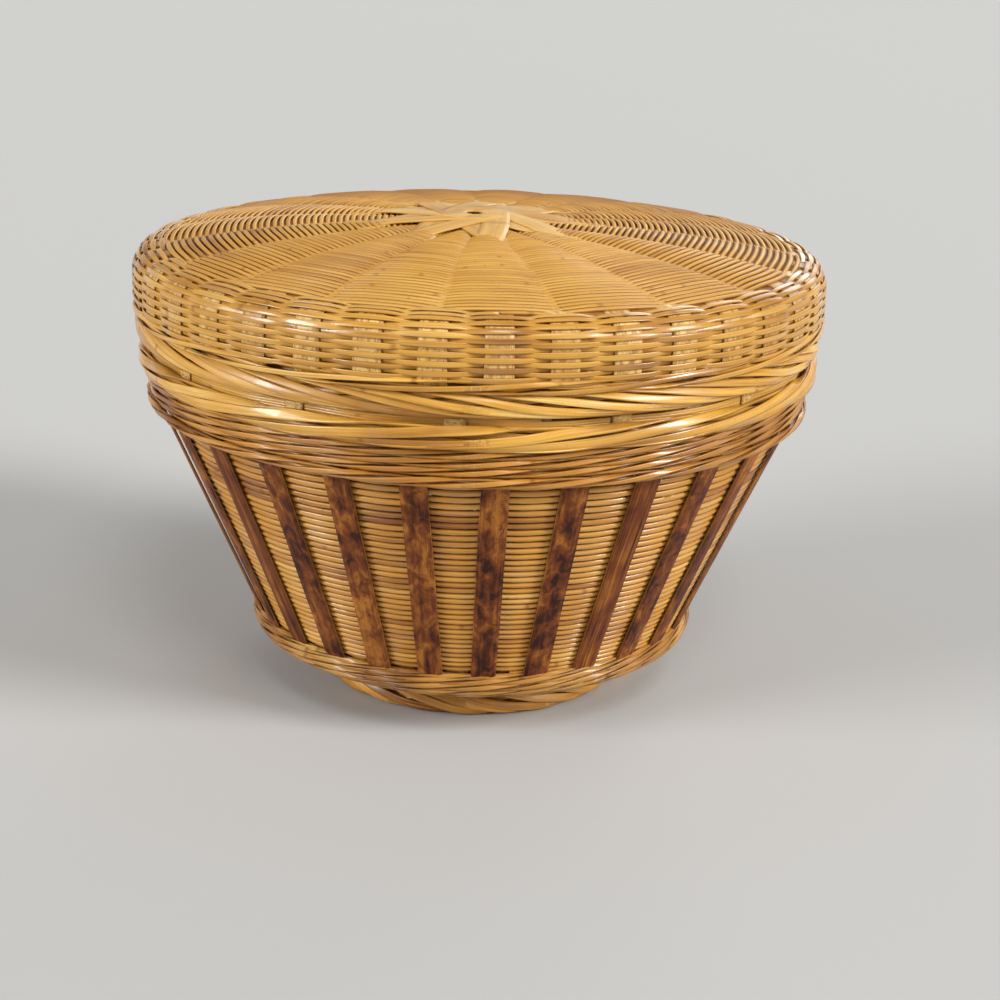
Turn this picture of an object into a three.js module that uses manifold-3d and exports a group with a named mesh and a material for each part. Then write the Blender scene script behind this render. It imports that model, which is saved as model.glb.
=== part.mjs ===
import * as THREE from 'three';
import { mergeVertices } from 'three/addons/utils/BufferGeometryUtils.js';
import Module from 'manifold-3d';

// A round bamboo basket with a lift-off lid: a cone of fine woven rods between pale inner
// stakes and dark outer slats, on a twisted foot ring, under a low domed lid.
// Millimetres, +Z up. The origin is on the floor, on the basket's axis; the front is -Y.

const wasm = await Module();
wasm.setup();

// Clearances between pieces that touch on the real basket
const SEAT = 0.3;
const STRAND_CLEARANCE = 0.5;
const STRAND_END_GAP = 1.5;

// How far past the crossing splints the floor and the dome stay flat
const STAR_MARGIN = 1;

// The weave: thickness of a woven wall, and of the flat stakes inside it
const WEAVE_WALL = 2.4;
const STAKE_THICKNESS = 1.0;

// Foot ring
const FOOT_INNER_RADIUS = 55.5;
const FOOT_HOOP_THICKNESS = 5;
const FOOT_HEIGHT = 12.4;
const FOOT_STRAND_THICKNESS = 1.7;
const FOOT_STRAND_WIDTH = 4.6;
const FOOT_STRAND_SWING = 1.3;
const FOOT_STRANDS = 3;
const FOOT_TURNS = -4;

// Floor and wall of the basket, radii of the outer face of the weave, at slat middles
const FLOOR_RADIUS = 66;
const FLOOR_KICK = 1.6;
const HEEL_RADIUS = 78;
const HEEL_RISE = 5.6;
const PANEL_BOTTOM_RADIUS = 90.4;
const PANEL_BOTTOM_RISE = 16.6;
const PANEL_HEIGHT = 91;
const COLLAR_RADIUS = 132.5;
const RIM_FLARE = 2.8;
const COLLAR_HEIGHT = 28;
const COLLAR_BINDING_HEIGHT = 2.4;
const COLLAR_BINDING_PROUD = 0.5;

// Slats and stakes
const SLAT_COUNT = 28;
const SLAT_WIDTH_TOP = 10.7;
const SLAT_WIDTH_BOTTOM = 9.4;
const SLAT_THICKNESS = 1.2;
const SLAT_EDGE_ROUNDING = 0.35;
const SLAT_TUCK = 2.2;
const SIDE_STAKE_WIDTH = 9;
const FRONT_SLAT_ANGLE = 3.2;

// The rods of the side stand out as ridges, drawn as one ridge for every two rods
const SIDE_RIDGES = 15;
const SIDE_RIDGE_DEPTH = 1.0;

// Wale rows round the top and the bottom of the slats
const WALE_THICKNESS = 2.8;
const WALE_ROW_HEIGHT = 3.1;
const UPPER_WALE_ROWS = 4;
const HEEL_WALE_THICKNESS = 3;
const HEEL_WALE_ROW_HEIGHT = 6;
const HEEL_WALE_ROWS = 2;

// Twisted borders of the basket and of the lid, each on a flat hoop. A border with negative
// turns has strands that fall to the right, one with positive turns has strands that rise.
const HOOP_THICKNESS = 1.4;
const BORDER_STRAND_THICKNESS = 1.5;
const BORDER_STRAND_WIDTH = 4.2;
const BORDER_HEIGHT = 10.8;
const BORDER_SWING = 1.3;
const BORDER_STRANDS = 4;
const STEPS_A_TURN = 12;
const RIM_TURNS = 5;
const LID_BORDER_TURNS = -5;

// Lid, heights and widths of the outer face of its weave, and how far that swells over each
// rib on the top and over each stake on the skirt
const LID_FIT = 1.2;
const SKIRT_PROUD = 0.3;
const LID_SKIRT_HEIGHT = 14.4;
const LID_TURN_IN = 3;
const SHOULDER_WIDTH = 9;
const SHOULDER_HEIGHT = 10.4;
const DOME_RISE = 9.6;
const LID_RIB_COUNT = 19;
const LID_RIB_WIDTH = 12;
const LID_SWELL = 1.0;
const FRONT_RIB_ANGLE = 3;
const HUB_RADIUS = 22;
const HUB_RISE = 3;
const HUB_SPLINT_COUNT = 9;
const HUB_SPLINT_WIDTH = 8.5;
const HUB_SPLINT_THICKNESS = 1.1;
const HUB_EYE_RADIUS = 1.8;
const HUB_FLAT_SHARE = 0.55;

// Colours of the bamboo
const COLOURS = {
  honey: 0xd3a158,
  pale: 0xdcb67a,
  amber: 0xb9823f,
  slat: 0x5c3322,
};

const ROUND = 2 * Math.PI;
const BASKET_SIDES = 2 * SLAT_COUNT;
const LID_SIDES = 4 * LID_RIB_COUNT;

// A point in the half-plane of a profile: distance from the axis, height
const at = (radius, height) => new THREE.Vector2(radius, height);

const bamboo = (colour, roughness) =>
  new THREE.MeshStandardMaterial({ color: COLOURS[colour], roughness, metalness: 0 });

const group = new THREE.Group();
const basket = new THREE.Group();
const lid = new THREE.Group();
group.add(basket, lid);

function addPiece(parent, name, geometry, material) {
  const piece = new THREE.Mesh(geometry, material);
  piece.name = name;
  parent.add(piece);
  return piece;
}

// Turns a closed profile round the axis. The ring has flat sides, and radii are to their middles.
function turned(profile, sides) {
  const reach = 1 / Math.cos(Math.PI / sides);
  const points = profile.map((point) => at(point.x * reach, point.y));
  if (points[0].x > 0) points.push(points[0].clone());
  const geometry = new THREE.LatheGeometry(points, sides, -Math.PI / sides);
  geometry.rotateX(Math.PI / 2);
  return geometry;
}

// Turns a wall outline in lobes: it keeps its outer face at each crest, and sinks between them
function turnedInLobes(outline, sides, lobes, firstCrest) {
  const geometry = turned(outline, sides);
  geometry.rotateZ(Math.PI / sides);
  const sunk = outline.map((point, index) => {
    const opposite = outline[outline.length - 1 - index];
    const depth = index < outline.length / 2 ? LID_SWELL : 0;
    return point.clone().lerp(opposite, depth / WEAVE_WALL);
  });
  const corner = new THREE.Vector3();
  const positions = geometry.attributes.position;
  for (let index = 0; index < positions.count; index += 1) {
    const point = index % (outline.length + 1) % outline.length;
    corner.fromBufferAttribute(positions, index);
    const angle = Math.atan2(corner.x, -corner.y);
    const share = (1 - Math.cos(lobes * (angle - firstCrest))) / 2;
    const narrower = 1 + share * (sunk[point].x / outline[point].x - 1);
    const lower = share * (sunk[point].y - outline[point].y);
    positions.setXYZ(index, corner.x * narrower, corner.y * narrower, corner.z + lower);
  }
  return geometry;
}

// An outline with one straight stretch of its outer face broken into ridges
function ridged(outline, from, to, count, depth) {
  const stretch = to.clone().sub(from);
  const inwards = at(-stretch.y, stretch.x).setLength(depth);
  const ridges = [];
  for (let step = 1; step < 2 * count; step += 1) {
    const point = from.clone().addScaledVector(stretch, step / (2 * count));
    ridges.push(step % 2 === 1 ? point.add(inwards) : point);
  }
  const place = outline.indexOf(to);
  return [...outline.slice(0, place), ...ridges, ...outline.slice(place)];
}

// The same path moved inwards, square to itself, by a distance. Paths run bottom to top.
function movedInwards(path, distance) {
  return path.map((point, index) => {
    const before = path[Math.max(index - 1, 0)];
    const after = path[Math.min(index + 1, path.length - 1)];
    const arrive = point.clone().sub(index > 0 ? before : after);
    if (index === 0) arrive.negate();
    const leave = after.clone().sub(point);
    if (index === path.length - 1) leave.copy(arrive);
    arrive.normalize();
    leave.normalize();
    const along = arrive.clone().add(leave).normalize();
    const inwards = at(-along.y, along.x);
    return point.clone().addScaledVector(inwards, distance / along.dot(arrive));
  });
}

// The closed outline of a wall between two points of its outer path, and the like inner points.
// A gap is left at the start, where the wall stands on the one before it.
function wallOutline(outer, inner, first, last, gap = 0) {
  const from = outer.indexOf(first);
  const to = outer.indexOf(last);
  const start = (path) => {
    const step = path[from + 1].clone().sub(path[from]);
    return path[from].clone().addScaledVector(step.normalize(), gap);
  };
  const outerPart = [start(outer), ...outer.slice(from + 1, to + 1)];
  const innerPart = [start(inner), ...inner.slice(from + 1, to + 1)];
  return [...outerPart, ...innerPart.reverse()];
}

// A rounded outline of a row or strand, lying square to a wall that leans outwards
function ovalOutline(centre, thickness, height, lean, corners) {
  const points = [];
  for (let corner = 0; corner < corners; corner += 1) {
    const turn = (ROUND * corner) / corners;
    const across = (thickness / 2) * Math.cos(turn);
    const up = (height / 2) * Math.sin(turn);
    points.push(at(
      centre.x + across * Math.cos(lean) + up * Math.sin(lean),
      centre.y - across * Math.sin(lean) + up * Math.cos(lean),
    ));
  }
  return points;
}

// A strand that winds round the centre line of a ring on a flattened helix
class TwistedRingPath extends THREE.Curve {
  constructor({ radius, height, swing, lift, turns, phase }) {
    super();
    Object.assign(this, { radius, height, swing, lift, turns, phase });
    this.sweep = ROUND - STRAND_END_GAP / radius;
    this.arcLengthDivisions = 900;
  }

  angle(t) {
    return this.sweep * t;
  }

  getPoint(t, target = new THREE.Vector3()) {
    const angle = this.angle(t);
    const twist = this.turns * angle + this.phase;
    const radius = this.radius + this.swing * Math.cos(twist);
    const height = this.height + this.lift * Math.sin(twist);
    return target.set(radius * Math.sin(angle), -radius * Math.cos(angle), height);
  }

  // The flat section keeps its thin side towards the axis all the way round
  computeFrenetFrames(segments) {
    const frames = { tangents: [], normals: [], binormals: [] };
    for (let step = 0; step <= segments; step += 1) {
      const t = this.getUtoTmapping(step / segments);
      const angle = this.angle(t);
      const outwards = new THREE.Vector3(Math.sin(angle), -Math.cos(angle), 0);
      const along = new THREE.Vector3(Math.cos(angle), Math.sin(angle), 0);
      frames.tangents.push(along);
      frames.normals.push(outwards);
      frames.binormals.push(new THREE.Vector3().crossVectors(along, outwards));
    }
    return frames;
  }
}

// A set of strands wound round one ring, equally spaced round its section
function addStrands(parent, name, count, ring, section, material) {
  const corners = 6;
  const steps = STEPS_A_TURN * Math.abs(ring.turns);
  for (let strand = 0; strand < count; strand += 1) {
    const path = new TwistedRingPath({ ...ring, phase: (ROUND * strand) / count });
    const outline = new THREE.Shape(
      ovalOutline(at(0, 0), section.thickness, section.width, 0, corners),
    );
    const geometry = new THREE.ExtrudeGeometry(outline, { steps, extrudePath: path });
    addPiece(parent, `${name}_${strand + 1}`, geometry, material);
  }
}

function toSolid(geometry) {
  const plain = geometry.clone();
  plain.deleteAttribute('normal');
  plain.deleteAttribute('uv');
  const merged = mergeVertices(plain, 1e-4);
  return new wasm.Manifold(new wasm.Mesh({
    numProp: 3,
    vertProperties: Float32Array.from(merged.attributes.position.array),
    triVerts: Uint32Array.from(merged.index.array),
  }));
}

function toGeometry(solid) {
  const mesh = solid.getMesh();
  const geometry = new THREE.BufferGeometry();
  geometry.setAttribute('position', new THREE.BufferAttribute(mesh.vertProperties, mesh.numProp));
  geometry.setIndex(new THREE.BufferAttribute(mesh.triVerts, 1));
  geometry.computeVertexNormals();
  return geometry;
}

// A flat splint of constant width bent along a profile, pointing away from the axis
function splint(outline, width, angle, sideways = 0) {
  const shape = new THREE.Shape(outline);
  const geometry = new THREE.ExtrudeGeometry(shape, { depth: width, bevelEnabled: false });
  geometry.translate(0, 0, sideways - width / 2);
  geometry.rotateX(Math.PI / 2);
  geometry.rotateZ(angle - Math.PI / 2);
  return geometry;
}

function joined(geometries) {
  const solids = geometries.map(toSolid);
  return toGeometry(wasm.Manifold.union(solids));
}

// The radius inside which splints of this width, laid out as a star, cover the middle
const starRadius = (count, width) => (count * width) / ROUND + width / 4;

// The band of splint between two paths, one on each face
const splintOutline = (outerPath, innerPath) => [...outerPath, ...innerPath.slice().reverse()];

// Basket: the outer face of the weave, from the middle of the floor to the rim
const floorHeight = FOOT_HEIGHT + SEAT;
const floorStar = starRadius(SLAT_COUNT, SIDE_STAKE_WIDTH);
const floorMiddle = at(0, floorHeight + FLOOR_KICK);
const floorEdge = at(FLOOR_RADIUS, floorHeight);
const heel = at(HEEL_RADIUS, floorHeight + HEEL_RISE);
const panelBottom = at(PANEL_BOTTOM_RADIUS, floorHeight + PANEL_BOTTOM_RISE);
const panelTop = at(COLLAR_RADIUS - RIM_FLARE, panelBottom.y + PANEL_HEIGHT);
const waleRow = WALE_ROW_HEIGHT + SEAT;
const rimSeat = at(COLLAR_RADIUS, panelTop.y + UPPER_WALE_ROWS * waleRow);
const collarTop = at(COLLAR_RADIUS, rimSeat.y + COLLAR_HEIGHT);
const floorFlat = at(floorStar + STAR_MARGIN, floorMiddle.y);
const basketPath = [floorMiddle, floorFlat, floorEdge, heel, panelBottom, panelTop, rimSeat, collarTop];
const basketInside = movedInwards(basketPath, WEAVE_WALL);
const panelSlope = panelTop.clone().sub(panelBottom);
const panelLean = Math.atan2(panelSlope.x, panelSlope.y);

function buildBasketWeave() {
  const weave = bamboo('honey', 0.5);
  const floor = wallOutline(basketPath, basketInside, floorMiddle, floorEdge);
  const side = wallOutline(basketPath, basketInside, floorEdge, rimSeat, SEAT);
  const collar = wallOutline(basketPath, basketInside, rimSeat, collarTop, SEAT);
  addPiece(basket, 'floor_weave', turned(floor, BASKET_SIDES), weave);
  const ridgedSide = ridged(side, panelBottom, panelTop, SIDE_RIDGES, SIDE_RIDGE_DEPTH);
  addPiece(basket, 'side_weave', turned(ridgedSide, BASKET_SIDES), weave);
  addPiece(basket, 'collar_weave', turned(collar, BASKET_SIDES), weave);

  const bindingBottom = collarTop.y + SEAT;
  const bindingInside = COLLAR_RADIUS - WEAVE_WALL - SEAT - STAKE_THICKNESS;
  const binding = [
    at(bindingInside, bindingBottom),
    at(COLLAR_RADIUS + COLLAR_BINDING_PROUD, bindingBottom),
    at(COLLAR_RADIUS, bindingBottom + COLLAR_BINDING_HEIGHT),
    at(bindingInside + SEAT, bindingBottom + COLLAR_BINDING_HEIGHT),
  ];
  addPiece(basket, 'collar_binding', turned(binding, BASKET_SIDES), bamboo('amber', 0.45));
}

// The inner stakes cross on the floor, climb the side between the slats and end at the collar
function buildBasketStakes() {
  const outerFace = movedInwards(basketPath, WEAVE_WALL + SEAT);
  const innerFace = movedInwards(basketPath, WEAVE_WALL + SEAT + STAKE_THICKNESS);
  const middle = [at(0, outerFace[0].y), at(floorStar, outerFace[0].y),
    at(floorStar, innerFace[0].y), at(0, innerFace[0].y)];
  outerFace[0].x = floorStar - SIDE_STAKE_WIDTH / 4;
  innerFace[0].x = outerFace[0].x;
  const stakes = [turned(middle, BASKET_SIDES)];
  for (let stake = 0; stake < SLAT_COUNT; stake += 1) {
    const angle = (ROUND * (stake + 0.5)) / SLAT_COUNT;
    stakes.push(splint(splintOutline(outerFace, innerFace), SIDE_STAKE_WIDTH, angle));
  }
  addPiece(basket, 'stake_frame', joined(stakes), bamboo('pale', 0.6));
}

// Dark slats lie flat on the weave. Both ends are tucked behind a wale row.
function buildSlats() {
  const length = panelSlope.length();
  const shape = new THREE.Shape([
    at(-SLAT_WIDTH_BOTTOM / 2, -SLAT_TUCK),
    at(SLAT_WIDTH_BOTTOM / 2, -SLAT_TUCK),
    at(SLAT_WIDTH_TOP / 2, length + SLAT_TUCK),
    at(-SLAT_WIDTH_TOP / 2, length + SLAT_TUCK),
  ]);
  const material = bamboo('slat', 0.4);
  for (let slat = 0; slat < SLAT_COUNT; slat += 1) {
    const geometry = new THREE.ExtrudeGeometry(shape, {
      depth: SLAT_THICKNESS - SLAT_EDGE_ROUNDING,
      bevelThickness: SLAT_EDGE_ROUNDING,
      bevelSize: SLAT_EDGE_ROUNDING,
      bevelOffset: -SLAT_EDGE_ROUNDING,
      bevelSegments: 1,
    });
    const name = `dark_slat_${String(slat + 1).padStart(2, '0')}`;
    const piece = addPiece(basket, name, geometry, material);
    const seat = new THREE.Vector3(0, -panelBottom.x, panelBottom.y);
    const outwards = new THREE.Vector3(0, -Math.cos(panelLean), -Math.sin(panelLean));
    seat.addScaledVector(outwards, SEAT + SLAT_EDGE_ROUNDING);
    piece.position.copy(seat);
    piece.rotation.x = Math.PI / 2 + panelLean;
    const turn = new THREE.Group();
    turn.rotation.z = (ROUND * slat) / SLAT_COUNT;
    turn.add(piece);
    basket.add(turn);
  }
}

// Rings of twined splints, drawn as plain rows. A row that covers slat ends stands out over them.
function addWaleRow(name, foot, head, share, thickness, height, lift) {
  const corners = 4;
  const middle = foot.clone().lerp(head, share);
  const lean = Math.atan2(head.x - foot.x, head.y - foot.y);
  const outwards = at(Math.cos(lean), -Math.sin(lean));
  middle.addScaledVector(outwards, SEAT + lift + thickness / 2);
  const outline = ovalOutline(middle, thickness, height, lean, corners);
  addPiece(basket, name, turned(outline, BASKET_SIDES), bamboo('honey', 0.45));
}

function buildWaleRows() {
  const overSlats = SLAT_THICKNESS + SEAT + SLAT_EDGE_ROUNDING;
  for (let row = 0; row < UPPER_WALE_ROWS; row += 1) {
    const share = (row + 0.5) / UPPER_WALE_ROWS;
    const lift = row === 0 ? overSlats : 0;
    addWaleRow(`upper_wale_${row + 1}`, panelTop, rimSeat, share, WALE_THICKNESS, WALE_ROW_HEIGHT, lift);
  }
  const heelLength = panelBottom.distanceTo(heel);
  for (let row = 0; row < HEEL_WALE_ROWS; row += 1) {
    const down = (row + 0.5) * (HEEL_WALE_ROW_HEIGHT + SEAT);
    const share = 1 - down / heelLength;
    const lift = row === 0 ? overSlats : 0;
    addWaleRow(`heel_wale_${row + 1}`, heel, panelBottom, share, HEEL_WALE_THICKNESS,
      HEEL_WALE_ROW_HEIGHT, lift);
  }
}

// A flat hoop with strands twisted round outside it. The ring's section is as high as the border.
const borderLift = (BORDER_HEIGHT - BORDER_STRAND_WIDTH) / 2;
const borderReach = BORDER_SWING + BORDER_STRAND_THICKNESS / 2;

function buildBorder(parent, name, hoopInside, bottom, turns) {
  const hoopOutside = hoopInside + HOOP_THICKNESS;
  const hoop = [
    at(hoopInside, bottom),
    at(hoopOutside, bottom),
    at(hoopOutside, bottom + BORDER_HEIGHT),
    at(hoopInside, bottom + BORDER_HEIGHT),
  ];
  addPiece(parent, `${name}_hoop`, turned(hoop, BASKET_SIDES), bamboo('amber', 0.5));
  const ring = {
    radius: hoopOutside + STRAND_CLEARANCE + borderReach,
    height: bottom + BORDER_HEIGHT / 2,
    swing: BORDER_SWING,
    lift: borderLift,
    turns,
  };
  const section = { thickness: BORDER_STRAND_THICKNESS, width: BORDER_STRAND_WIDTH };
  addStrands(parent, `${name}_strand`, BORDER_STRANDS, ring, section, bamboo('honey', 0.4));
}

const rimBottom = rimSeat.y + SEAT;
const rimTop = rimBottom + BORDER_HEIGHT;

function buildFoot() {
  const outside = FOOT_INNER_RADIUS + FOOT_HOOP_THICKNESS;
  const hoop = [
    at(FOOT_INNER_RADIUS, 0),
    at(outside, 0),
    at(outside, FOOT_HEIGHT),
    at(FOOT_INNER_RADIUS, FOOT_HEIGHT),
  ];
  addPiece(basket, 'foot_hoop', turned(hoop, BASKET_SIDES), bamboo('amber', 0.6));
  const ring = {
    radius: outside + STRAND_CLEARANCE + FOOT_STRAND_SWING + FOOT_STRAND_THICKNESS / 2,
    height: FOOT_HEIGHT / 2,
    swing: FOOT_STRAND_SWING,
    lift: (FOOT_HEIGHT - FOOT_STRAND_WIDTH) / 2 - SEAT,
    turns: FOOT_TURNS,
  };
  const section = { thickness: FOOT_STRAND_THICKNESS, width: FOOT_STRAND_WIDTH };
  addStrands(basket, 'foot_strand', FOOT_STRANDS, ring, section, bamboo('amber', 0.5));
}

// Lid: the outer face of the weave, from the border up the skirt and over the dome
const lidBottom = rimTop + SEAT;
const skirtBottom = lidBottom + BORDER_HEIGHT + SEAT;
const skirtTop = skirtBottom + LID_SKIRT_HEIGHT;
const lidHoopInside = COLLAR_RADIUS + LID_FIT;
const lidRadius = lidHoopInside + HOOP_THICKNESS + STRAND_CLEARANCE + 2 * borderReach + SKIRT_PROUD;
const domeEdge = at(lidRadius - SHOULDER_WIDTH, skirtTop + SHOULDER_HEIGHT);
const domeTop = domeEdge.y + DOME_RISE;

// The dome is a low parabola outside its flat middle, where the ribs cross
const lidStar = starRadius(LID_RIB_COUNT, LID_RIB_WIDTH);
const domeFlat = at(lidStar + STAR_MARGIN, domeTop);
const domeStep = (domeEdge.x - domeFlat.x) / 3;

function domePoint(radius) {
  const fall = (radius - domeFlat.x) / (domeEdge.x - domeFlat.x);
  return at(radius, domeTop - DOME_RISE * fall * fall);
}

function shoulderPoint(turn) {
  const across = SHOULDER_WIDTH * (1 - Math.cos(turn));
  return at(lidRadius - across, skirtTop + SHOULDER_HEIGHT * Math.sin(turn));
}

const skirtFoot = at(lidRadius - LID_TURN_IN, skirtBottom);
const shoulder = shoulderPoint(Math.PI / 3);
const hubEdge = at(HUB_RADIUS, domeTop);
const lidPath = [
  skirtFoot,
  at(lidRadius, skirtBottom + LID_TURN_IN),
  at(lidRadius, skirtTop),
  shoulderPoint(Math.PI / 6),
  shoulder,
  domeEdge,
  domePoint(domeEdge.x - domeStep),
  domePoint(domeEdge.x - 2 * domeStep),
  domeFlat,
  hubEdge,
];
const lidInside = movedInwards(lidPath, WEAVE_WALL);

function buildLidWeave() {
  const weave = bamboo('honey', 0.42);
  const skirt = wallOutline(lidPath, lidInside, skirtFoot, shoulder);
  const dome = wallOutline(lidPath, lidInside, shoulder, hubEdge, SEAT);
  const ribPitch = ROUND / LID_RIB_COUNT;
  const skirtShape = turnedInLobes(skirt, LID_SIDES, 2 * LID_RIB_COUNT, ribPitch / 4);
  addPiece(lid, 'lid_skirt_weave', skirtShape, weave);
  addPiece(lid, 'lid_dome_weave', turnedInLobes(dome, LID_SIDES, LID_RIB_COUNT, 0), weave);
}

// Wide ribs cross under the hub and run out below the dome to the shoulder
function buildLidRibs() {
  const edge = lidPath.indexOf(domeEdge);
  const outerFace = movedInwards(lidPath, WEAVE_WALL + SEAT).slice(edge);
  const innerFace = movedInwards(lidPath, WEAVE_WALL + SEAT + STAKE_THICKNESS).slice(edge);
  const last = outerFace.length - 1;
  const middle = [at(0, innerFace[last].y), at(lidStar, innerFace[last].y),
    at(lidStar, outerFace[last].y), at(0, outerFace[last].y)];
  const overlap = lidStar - LID_RIB_WIDTH / 4;
  const outerRib = [...outerFace.slice(0, last), at(overlap, outerFace[last].y)];
  const innerRib = [...innerFace.slice(0, last), at(overlap, innerFace[last].y)];
  const ribs = [turned(middle, LID_SIDES)];
  for (let rib = 0; rib < LID_RIB_COUNT; rib += 1) {
    const angle = (ROUND * rib) / LID_RIB_COUNT;
    ribs.push(splint(splintOutline(outerRib, innerRib), LID_RIB_WIDTH, angle));
  }
  addPiece(lid, 'lid_rib_frame', joined(ribs), bamboo('pale', 0.6));
}

// Splints crossing over the hub, each arched and passing beside the middle, round a small eye
function buildHubSplints() {
  const ribTop = domeTop - WEAVE_WALL - SEAT;
  const sideways = HUB_EYE_RADIUS + HUB_SPLINT_WIDTH / 2;
  const corner = HUB_EYE_RADIUS + HUB_SPLINT_WIDTH;
  const reach = Math.sqrt((HUB_RADIUS - 2 * SEAT) ** 2 - corner ** 2);
  const archTop = domeTop + HUB_RISE - HUB_SPLINT_THICKNESS;
  const low = ribTop + SEAT;
  const flat = reach * HUB_FLAT_SHARE;
  const arch = [at(-reach, low), at(-flat, archTop), at(flat, archTop), at(reach, low)];
  const topFace = arch.map((point) => at(point.x, point.y + HUB_SPLINT_THICKNESS));
  const outline = splintOutline(arch, topFace);
  const splints = [];
  for (let index = 0; index < HUB_SPLINT_COUNT; index += 1) {
    splints.push(splint(outline, HUB_SPLINT_WIDTH, (ROUND * index) / HUB_SPLINT_COUNT, sideways));
  }
  addPiece(lid, 'lid_hub_splints', joined(splints), bamboo('pale', 0.45));
}

buildBasketWeave();
buildBasketStakes();
buildSlats();
buildWaleRows();
buildFoot();
buildBorder(basket, 'rim', COLLAR_RADIUS + SEAT, rimBottom, RIM_TURNS);
buildBorder(lid, 'lid_border', lidHoopInside, lidBottom, LID_BORDER_TURNS);
buildLidWeave();
buildLidRibs();
buildHubSplints();

basket.rotation.z = THREE.MathUtils.degToRad(FRONT_SLAT_ANGLE);
lid.rotation.z = THREE.MathUtils.degToRad(FRONT_RIB_ANGLE);

export default group;
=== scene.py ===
import math

import bpy
import numpy as np
from mathutils import Matrix, Vector


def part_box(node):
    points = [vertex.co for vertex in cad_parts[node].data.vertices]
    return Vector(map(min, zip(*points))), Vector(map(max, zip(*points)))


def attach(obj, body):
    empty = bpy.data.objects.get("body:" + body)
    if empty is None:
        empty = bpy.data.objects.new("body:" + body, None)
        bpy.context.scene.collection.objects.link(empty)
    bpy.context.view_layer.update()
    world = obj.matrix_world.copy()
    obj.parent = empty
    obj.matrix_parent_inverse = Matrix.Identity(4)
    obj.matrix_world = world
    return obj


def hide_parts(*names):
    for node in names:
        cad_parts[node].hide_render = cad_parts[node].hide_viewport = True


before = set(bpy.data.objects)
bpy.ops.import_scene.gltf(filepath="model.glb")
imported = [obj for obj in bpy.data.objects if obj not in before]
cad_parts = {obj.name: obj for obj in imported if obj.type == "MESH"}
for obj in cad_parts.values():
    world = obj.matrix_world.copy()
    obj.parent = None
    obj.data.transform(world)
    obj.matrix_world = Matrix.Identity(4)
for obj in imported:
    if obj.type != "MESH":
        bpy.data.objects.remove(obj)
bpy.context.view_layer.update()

# Foot ring. Flat amber splints are wound round a stiff bamboo hoop, so that they lie on it as
# long slanting leaves. The ring is laced under the floor, and the basket stands on its lower edge.
MM = 0.001


class Wire:
    """An output socket of a node tree. Arithmetic on it adds Math nodes to the tree."""

    def __init__(self, nodes, socket):
        self.nodes = nodes
        self.socket = socket

    def __getitem__(self, name):
        return Wire(self.nodes, self.socket.node.outputs[name])

    def maths(self, operation, *values):
        return self.nodes.add("ShaderNodeMath", dict(enumerate(values)), operation=operation)

    def __add__(self, other):
        return self.maths("ADD", self, other)

    def __sub__(self, other):
        return self.maths("SUBTRACT", self, other)

    def __rsub__(self, other):
        return self.maths("SUBTRACT", other, self)

    def __mul__(self, other):
        return self.maths("MULTIPLY", self, other)

    def __truediv__(self, other):
        return self.maths("DIVIDE", self, other)

    def __mod__(self, other):
        return self.maths("FLOORED_MODULO", self, other)

    def __pow__(self, other):
        return self.maths("POWER", self, other)

    def __lt__(self, other):
        return self.maths("LESS_THAN", self, other)

    def __gt__(self, other):
        return self.maths("GREATER_THAN", self, other)

    def __neg__(self):
        return self * -1

    def __abs__(self):
        return self.maths("ABSOLUTE", self)

    def __floor__(self):
        return self.maths("FLOOR", self)

    __radd__ = __add__
    __rmul__ = __mul__

    def sine(self):
        return self.maths("SINE", self)

    def cosine(self):
        return self.maths("COSINE", self)

    def angle_over(self, run):
        """The angle whose slope is this over a run."""
        return self.maths("ARCTAN2", self, run)

    def at_least(self, low):
        return self.maths("MAXIMUM", self, low)

    def at_most(self, high):
        return self.maths("MINIMUM", self, high)

    def rising(self, low, high):
        """Goes smoothly from 0 at low to 1 at high."""
        ends = {"Value": self, "From Min": low, "From Max": high}
        return self.nodes.add("ShaderNodeMapRange", ends, interpolation_type="SMOOTHSTEP")

    def parts(self):
        split = self.nodes.add("ShaderNodeSeparateXYZ", {0: self})
        return split["X"], split["Y"], split["Z"]


class Nodes:
    """Fills a node tree. Every node in it comes from add."""

    def __init__(self, tree):
        self.tree = tree

    def add(self, kind, sockets=None, **settings):
        node = self.tree.nodes.new(kind)
        for name, value in settings.items():
            setattr(node, name, value)
        self.fill(node, sockets or {})
        shown = [socket for socket in node.outputs if socket.enabled]
        return Wire(self, shown[0]) if shown else None

    def fill(self, node, sockets):
        """Gives a node's inputs, by name or by number, their values or links."""
        for name, value in sockets.items():
            if isinstance(name, int):
                socket = node.inputs[name]
            else:
                socket = next(s for s in node.inputs if s.enabled and s.name == name)
            if isinstance(value, Wire):
                self.tree.links.new(value.socket, socket)
            else:
                socket.default_value = value

    def vector(self, x, y, z):
        return self.add("ShaderNodeCombineXYZ", {0: x, 1: y, 2: z})

    def mix(self, share, first, second):
        """A colour that goes from first to second."""
        colours = {"Factor": share, "A": first, "B": second}
        return self.add("ShaderNodeMix", colours, data_type="RGBA")

    def noise(self, place, scale, detail=2.0, roughness=0.5, distortion=0.0):
        return self.add("ShaderNodeTexNoise", {
            "Vector": place, "Scale": scale, "Detail": detail,
            "Roughness": roughness, "Distortion": distortion,
        })

    def bump(self, height, strength, distance):
        sizes = {"Height": height, "Strength": strength, "Distance": distance}
        return self.add("ShaderNodeBump", sizes)


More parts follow.
